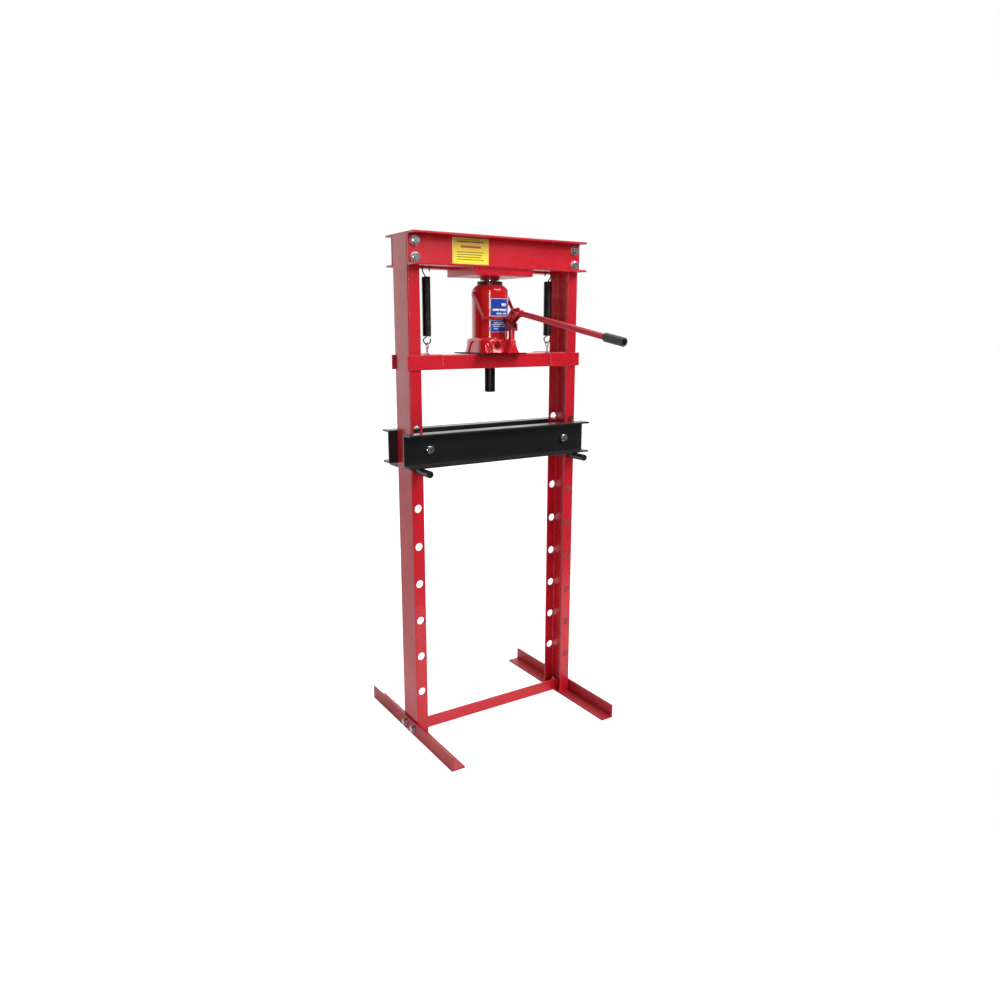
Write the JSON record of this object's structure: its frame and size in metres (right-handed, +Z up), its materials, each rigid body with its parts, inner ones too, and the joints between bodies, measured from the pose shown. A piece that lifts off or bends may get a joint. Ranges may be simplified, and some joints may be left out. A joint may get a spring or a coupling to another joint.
{
  "type": "hydraulic shop press",
  "caption": "Floor-standing H-frame shop press: a bottle jack on a sprung platform drives a ram down towards an adjustable pinned bed.",
  "frame": {"origin": "on the floor, midway between the feet and under the ram's axis", "axes": "+Z up along the columns, +X across the press to its right, -Y towards the operator and the jack handle"},
  "size_m": [0.556, 0.7428, 1.3],
  "materials": {
    "frame_paint": "gloss red enamel",
    "jack_paint": "high gloss red enamel",
    "bed_paint": "gloss black enamel",
    "zinc": "bright zinc plate",
    "dark_steel": "black oxide steel",
    "ground_steel": "ground and polished steel",
    "spring_steel": "black oiled spring wire",
    "grip_rubber": "matt moulded rubber",
    "seal_rubber": "matt rubber",
    "caution_film": "printed vinyl film",
    "jack_film": "printed vinyl film"
  },
  "bodies": {
    "frame_body": {"left_column": "frame_paint", "right_column": "frame_paint", "front_head_beam": "frame_paint", "rear_head_beam": "frame_paint", "head_bolts": "zinc", "head_nuts": "zinc", "head_washers": "zinc", "head_plate": "frame_paint", "jack_socket_ring": "frame_paint", "left_foot": "frame_paint", "right_foot": "frame_paint", "base_brace": "frame_paint", "foot_bolts": "zinc", "foot_nuts": "zinc", "foot_washers": "zinc", "caution_label": "caution_film", "spring_hanger_rods": "frame_paint", "left_return_spring": "spring_steel", "right_return_spring": "spring_steel", "jack_piston": "ground_steel", "piston_seal": "seal_rubber", "extension_screw": "ground_steel"},
    "platform_body": {"platform_beam": "frame_paint", "front_guide_plates": "frame_paint", "rear_guide_plates": "frame_paint", "platform_ribs": "frame_paint", "press_ram": "dark_steel", "ram_collar": "dark_steel", "spring_eye_bolts": "zinc", "spring_eye_nuts": "zinc", "jack_bearing_plate": "dark_steel", "jack_base": "jack_paint", "oil_tank": "jack_paint", "pressure_cylinder": "ground_steel", "gland_nut": "dark_steel", "gland_seal": "seal_rubber", "filler_plug": "seal_rubber", "pump_cylinder": "jack_paint", "pump_gland": "dark_steel", "fulcrum_bracket": "jack_paint", "fulcrum_pin": "dark_steel", "jack_label": "jack_film", "bail_studs": "jack_paint"},
    "handle_body": {"handle_socket": "jack_paint", "crank_pin": "dark_steel", "clamp_screw": "dark_steel", "handle_tube": "jack_paint", "handle_grip": "grip_rubber"},
    "plunger_body": {"pump_plunger": "ground_steel"},
    "valve_body": {"release_valve": "dark_steel"},
    "bail_body": {"carry_bail": "jack_paint"},
    "bed_body": {"front_bed_beam": "bed_paint", "rear_bed_beam": "bed_paint", "bed_bolts": "zinc", "bed_nuts": "zinc", "bed_washers": "bed_paint", "bed_spacer_tubes": "bed_paint"},
    "left_pin_body": {"left_bed_pin": "bed_paint"},
    "right_pin_body": {"right_bed_pin": "bed_paint"}
  },
  "joints": [
    {"name": "platform_travel", "type": "slide", "parent": "frame_body", "child": "platform_body", "axis": [0, 0, -1], "range_m": [0, 0.11], "stiffness_N_per_m": 2000, "springref_m": -0.12, "deforming": ["left_return_spring", "right_return_spring"]},
    {"name": "handle_pump", "type": "hinge", "parent": "platform_body", "child": "handle_body", "pos_m": [0.019, -0.061, 1.096], "axis": [-1, 0, 0], "range_deg": [0, 42]},
    {"name": "plunger_stroke", "type": "slide", "parent": "platform_body", "child": "plunger_body", "axis": [0, 0, 1], "range_m": [0, 0.0102]},
    {"name": "release_valve_turn", "type": "hinge", "parent": "platform_body", "child": "valve_body", "pos_m": [-0.015, -0.066, 1.036], "axis": [0, -1, 0], "range_deg": [0, 360]},
    {"name": "bail_swing", "type": "hinge", "parent": "platform_body", "child": "bail_body", "pos_m": [0, 0, 1.163], "axis": [-1, 0, 0], "range_deg": [0, 75]},
    {"name": "bed_lift", "type": "slide", "parent": "frame_body", "child": "bed_body", "axis": [0, 0, 1], "range_m": [0, 0.04]},
    {"name": "left_pin_pull", "type": "slide", "parent": "frame_body", "child": "left_pin_body", "axis": [0, -1, 0], "range_m": [0, 0.195]},
    {"name": "right_pin_pull", "type": "slide", "parent": "frame_body", "child": "right_pin_body", "axis": [0, -1, 0], "range_m": [0, 0.195]}
  ],
  "couplings": [
    {"joint": "plunger_stroke", "follows": "handle_pump", "m_per_rad": 0.013689}
  ]
}
